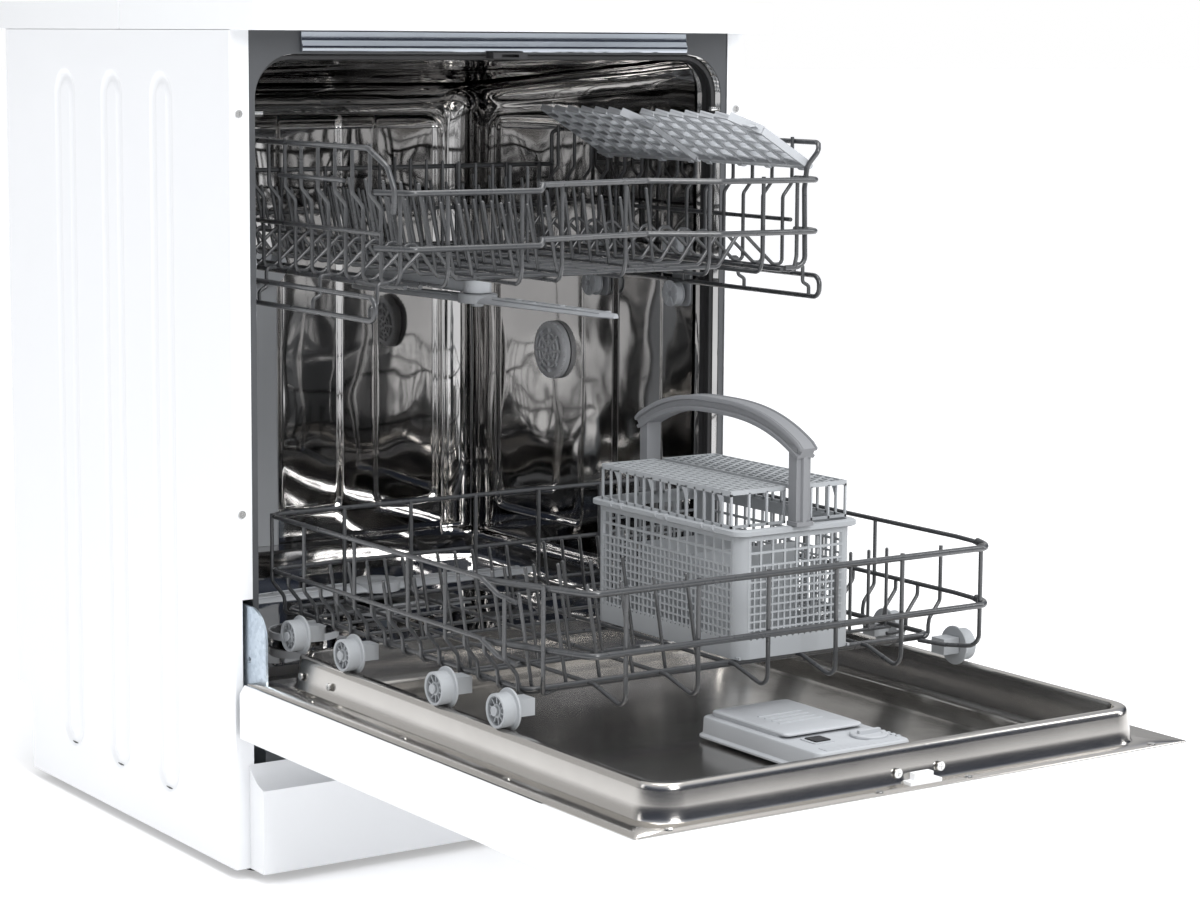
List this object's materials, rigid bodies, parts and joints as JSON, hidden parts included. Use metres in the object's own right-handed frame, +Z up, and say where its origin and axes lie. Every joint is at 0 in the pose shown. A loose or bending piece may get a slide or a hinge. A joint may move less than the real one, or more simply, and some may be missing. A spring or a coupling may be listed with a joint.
{
  "type": "freestanding dishwasher",
  "caption": "Full-size white freestanding dishwasher with its drop-down door open and both wire racks drawn out; cutlery basket, folding cup shelves and spray arms.",
  "frame": {"origin": "on the floor under the middle of the whole outline, open door included", "axes": "+X to the right seen from the front, +Y into the machine, +Z up"},
  "size_m": [0.598, 1.218, 0.845],
  "materials": {
    "white_laminate": "smooth white laminate",
    "white_enamel": "smooth white enamel",
    "white_plastic": "smooth white plastic",
    "grey_frame": "satin grey paint",
    "galvanised": "galvanised",
    "stainless": "polished",
    "bright_screw": "bright",
    "bar_aluminium": "satin",
    "black_plastic": "matt",
    "black_rubber": "matt",
    "wire_coating": "satin coating",
    "light_plastic": "satin",
    "mid_plastic": "satin",
    "pump_plastic": "matt"
  },
  "bodies": {
    "cabinet": {"worktop": "white_laminate", "left_side_panel": "white_enamel", "right_side_panel": "white_enamel", "rear_panel": "galvanised", "base_tray": "black_plastic", "levelling_feet": "black_plastic", "front_frame": "grey_frame", "top_crossbar": "bar_aluminium", "latch_catch": "black_plastic", "tub": "stainless", "door_seal": "black_rubber", "kick_plate": "white_enamel", "hinge_brackets": "galvanised", "hinge_springs": "galvanised", "roller_brackets": "mid_plastic", "vent_cap": "mid_plastic", "water_feed_duct": "light_plastic", "sump": "mid_plastic", "filter_plate": "stainless", "circulation_pump": "pump_plastic", "drain_pump": "pump_plastic", "water_softener": "light_plastic", "inlet_valve": "white_plastic", "cord_gland": "black_plastic", "cabinet_screws": "bright_screw"},
    "filter_cup": {"filter_cup": "mid_plastic"},
    "salt_cap": {"salt_cap": "light_plastic"},
    "lower_spray_arm": {"lower_spray_arm": "light_plastic"},
    "front_lower_rollers": {"front_lower_rollers": "light_plastic"},
    "rear_lower_rollers": {"rear_lower_rollers": "light_plastic"},
    "front_upper_rollers": {"front_upper_rollers": "light_plastic"},
    "rear_upper_rollers": {"rear_upper_rollers": "light_plastic"},
    "door": {"door_outer_panel": "white_enamel", "control_panel": "white_plastic", "door_liner": "stainless", "door_latch": "white_plastic", "hinge_arms": "galvanised", "dispenser_body": "light_plastic", "door_screws": "bright_screw"},
    "dispenser_lid": {"dispenser_lid": "light_plastic"},
    "dispenser_button": {"dispenser_button": "black_plastic"},
    "rinse_aid_cap": {"rinse_aid_cap": "light_plastic"},
    "power_button": {"power_button": "light_plastic"},
    "programme_button": {"programme_button": "light_plastic"},
    "lower_rack": {"lower_rack": "wire_coating", "wheel_clips": "light_plastic"},
    "wheels_1": {"wheels_1": "light_plastic"},
    "wheels_2": {"wheels_2": "light_plastic"},
    "wheels_3": {"wheels_3": "light_plastic"},
    "wheels_4": {"wheels_4": "light_plastic"},
    "cutlery_basket": {"cutlery_basket": "light_plastic", "basket_handle": "mid_plastic"},
    "basket_lid_left": {"basket_lid_left": "light_plastic"},
    "basket_lid_right": {"basket_lid_right": "light_plastic"},
    "upper_rack": {"upper_rack": "wire_coating", "upper_rack_runners": "stainless", "upper_spray_feed": "light_plastic"},
    "upper_spray_arm": {"upper_spray_arm": "mid_plastic"},
    "cup_shelf_front": {"cup_shelf_front": "light_plastic"},
    "cup_shelf_rear": {"cup_shelf_rear": "light_plastic"}
  },
  "joints": [
    {"name": "door_hinge", "type": "hinge", "parent": "cabinet", "child": "door", "pos_m": [0, 0.032, 0.17], "axis": [-1, 0, 0], "range_deg": [0, 15]},
    {"name": "lower_rack_slide", "type": "slide", "parent": "door", "child": "lower_rack", "axis": [0, -1, 0], "range_m": [-0.455, 0]},
    {"name": "wheels_1_spin", "type": "hinge", "parent": "lower_rack", "child": "wheels_1", "pos_m": [0, -0.35, 0.243], "axis": [1, 0, 0], "continuous": true},
    {"name": "wheels_2_spin", "type": "hinge", "parent": "lower_rack", "child": "wheels_2", "pos_m": [0, -0.248, 0.243], "axis": [1, 0, 0], "continuous": true},
    {"name": "wheels_3_spin", "type": "hinge", "parent": "lower_rack", "child": "wheels_3", "pos_m": [0, -0.083, 0.243], "axis": [1, 0, 0], "continuous": true},
    {"name": "wheels_4_spin", "type": "hinge", "parent": "lower_rack", "child": "wheels_4", "pos_m": [0, 0.021, 0.243], "axis": [1, 0, 0], "continuous": true},
    {"name": "basket_lift", "type": "slide", "parent": "lower_rack", "child": "cutlery_basket", "axis": [0, 0, -1], "range_m": [-0.055, 0]},
    {"name": "basket_lid_left_hinge", "type": "hinge", "parent": "cutlery_basket", "child": "basket_lid_left", "pos_m": [-0.007, -0.235, 0.377], "axis": [0, -1, 0], "range_deg": [0, 85]},
    {"name": "basket_lid_right_hinge", "type": "hinge", "parent": "cutlery_basket", "child": "basket_lid_right", "pos_m": [0.125, -0.235, 0.377], "axis": [0, 1, 0], "range_deg": [0, 85]},
    {"name": "upper_rack_slide", "type": "slide", "parent": "cabinet", "child": "upper_rack", "axis": [0, -1, 0], "range_m": [-0.222, 0]},
    {"name": "front_lower_rollers_spin", "type": "hinge", "parent": "cabinet", "child": "front_lower_rollers", "pos_m": [0, 0.119, 0.5407], "axis": [1, 0, 0], "continuous": true},
    {"name": "rear_lower_rollers_spin", "type": "hinge", "parent": "cabinet", "child": "rear_lower_rollers", "pos_m": [0, 0.274, 0.5407], "axis": [1, 0, 0], "continuous": true},
    {"name": "front_upper_rollers_spin", "type": "hinge", "parent": "cabinet", "child": "front_upper_rollers", "pos_m": [0, 0.119, 0.5913], "axis": [1, 0, 0], "continuous": true},
    {"name": "rear_upper_rollers_spin", "type": "hinge", "parent": "cabinet", "child": "rear_upper_rollers", "pos_m": [0, 0.274, 0.5913], "axis": [1, 0, 0], "continuous": true},
    {"name": "upper_spray_arm_spin", "type": "hinge", "parent": "upper_rack", "child": "upper_spray_arm", "pos_m": [-0.008, 0.091, 0.548], "axis": [0, 0, 1], "continuous": true},
    {"name": "cup_shelf_front_hinge", "type": "hinge", "parent": "upper_rack", "child": "cup_shelf_front", "pos_m": [0.2397, -0.041, 0.686], "axis": [0, 1, 0], "range_deg": [-31, 29]},
    {"name": "cup_shelf_rear_hinge", "type": "hinge", "parent": "upper_rack", "child": "cup_shelf_rear", "pos_m": [0.2397, 0.144, 0.686], "axis": [0, 1, 0], "range_deg": [-31, 29]},
    {"name": "lower_spray_arm_spin", "type": "hinge", "parent": "cabinet", "child": "lower_spray_arm", "pos_m": [0, 0.312, 0.22], "axis": [0, 0, 1], "continuous": true},
    {"name": "filter_cup_turn", "type": "hinge", "parent": "cabinet", "child": "filter_cup", "pos_m": [0, 0.248, 0.196], "axis": [0, 0, 1], "range_deg": [0, 60]},
    {"name": "salt_cap_turn", "type": "hinge", "parent": "cabinet", "child": "salt_cap", "pos_m": [-0.15, 0.199, 0.2], "axis": [0, 0, 1], "range_deg": [0, 90]},
    {"name": "dispenser_lid_slide", "type": "slide", "parent": "door", "child": "dispenser_lid", "axis": [0, 1, 0], "range_m": [0, 0.08]},
    {"name": "dispenser_button_press", "type": "slide", "parent": "door", "child": "dispenser_button", "axis": [0, 0, -1], "range_m": [0, 0.0025], "stiffness_N_per_m": 300, "springref_m": -0.001},
    {"name": "rinse_aid_cap_turn", "type": "hinge", "parent": "door", "child": "rinse_aid_cap", "pos_m": [0.05, -0.467, 0.206], "axis": [0, 0, 1], "range_deg": [0, 90]},
    {"name": "power_button_press", "type": "slide", "parent": "door", "child": "power_button", "axis": [0, 0, 1], "range_m": [0, 0.003], "stiffness_N_per_m": 300, "springref_m": -0.001},
    {"name": "programme_button_press", "type": "slide", "parent": "door", "child": "programme_button", "axis": [0, 0, 1], "range_m": [0, 0.003], "stiffness_N_per_m": 300, "springref_m": -0.001}
  ],
  "couplings": [
    {"joint": "wheels_1_spin", "follows": "lower_rack_slide", "rad_per_m": 66.667},
    {"joint": "wheels_2_spin", "follows": "lower_rack_slide", "rad_per_m": 66.667},
    {"joint": "wheels_3_spin", "follows": "lower_rack_slide", "rad_per_m": 66.667},
    {"joint": "wheels_4_spin", "follows": "lower_rack_slide", "rad_per_m": 66.667},
    {"joint": "front_lower_rollers_spin", "follows": "upper_rack_slide", "rad_per_m": 83.333},
    {"joint": "rear_lower_rollers_spin", "follows": "upper_rack_slide", "rad_per_m": 83.333},
    {"joint": "front_upper_rollers_spin", "follows": "upper_rack_slide", "rad_per_m": -83.333},
    {"joint": "rear_upper_rollers_spin", "follows": "upper_rack_slide", "rad_per_m": -83.333}
  ]
}
